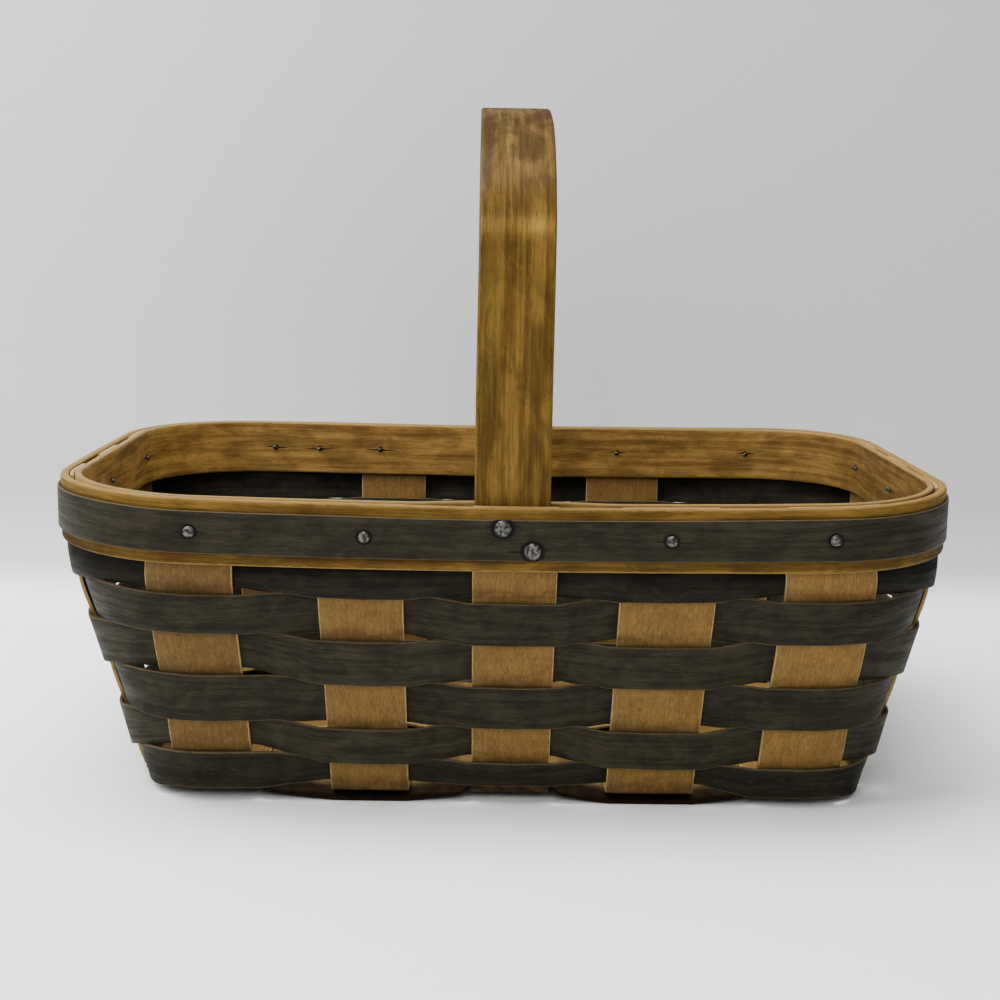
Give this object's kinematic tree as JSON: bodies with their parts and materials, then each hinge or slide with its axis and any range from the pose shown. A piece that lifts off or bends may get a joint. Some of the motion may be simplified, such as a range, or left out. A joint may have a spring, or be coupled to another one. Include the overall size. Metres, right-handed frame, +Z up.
{
  "type": "gathering basket",
  "caption": "Oblong splint basket with rounded corners, a plain woven wall of dyed weavers on natural stakes, a tacked double band rim and one fixed bentwood handle.",
  "frame": {"origin": "on the ground under the middle of the base", "axes": "+Z up, +X along the long side, -Y towards the front"},
  "size_m": [0.3596, 0.2324, 0.2701],
  "materials": {
    "stake_splint": "bare honey-coloured splint, satin",
    "filler_splint": "bare pale splint, satin",
    "weaver_splint": "splint dyed grey-black, dull",
    "band_wood": "golden brown, satin, pale cut edges",
    "handle_wood": "darker golden brown, satin",
    "tack_metal": "dull grey iron, hammered heads"
  },
  "bodies": {
    "root": {"cross_stake_1": "stake_splint", "cross_stake_2": "stake_splint", "cross_stake_3": "stake_splint", "cross_stake_4": "stake_splint", "cross_stake_5": "stake_splint", "long_stake_front": "stake_splint", "long_stake_middle": "stake_splint", "long_stake_back": "stake_splint", "filler_front": "filler_splint", "filler_mid_front": "filler_splint", "filler_mid_back": "filler_splint", "filler_back": "filler_splint", "weaver_row_1": "weaver_splint", "weaver_row_2": "weaver_splint", "weaver_row_3": "weaver_splint", "weaver_row_4": "weaver_splint", "weaver_row_5": "weaver_splint", "weaver_row_6": "weaver_splint", "outer_band": "band_wood", "inner_band": "band_wood", "trim_strip": "weaver_splint", "handle": "handle_wood", "handle_tack_front_upper": "tack_metal", "handle_tack_front_lower": "tack_metal", "handle_tack_back_upper": "tack_metal", "handle_tack_back_lower": "tack_metal", "rim_tack_01": "tack_metal", "rim_tack_02": "tack_metal", "rim_tack_04": "tack_metal", "rim_tack_05": "tack_metal", "rim_tack_06": "tack_metal", "rim_tack_07": "tack_metal", "rim_tack_08": "tack_metal", "rim_tack_09": "tack_metal", "rim_tack_10": "tack_metal", "rim_tack_12": "tack_metal", "rim_tack_13": "tack_metal", "rim_tack_14": "tack_metal", "rim_tack_15": "tack_metal", "rim_tack_16": "tack_metal", "rim_tack_17": "tack_metal"}
  },
  "joints": []
}
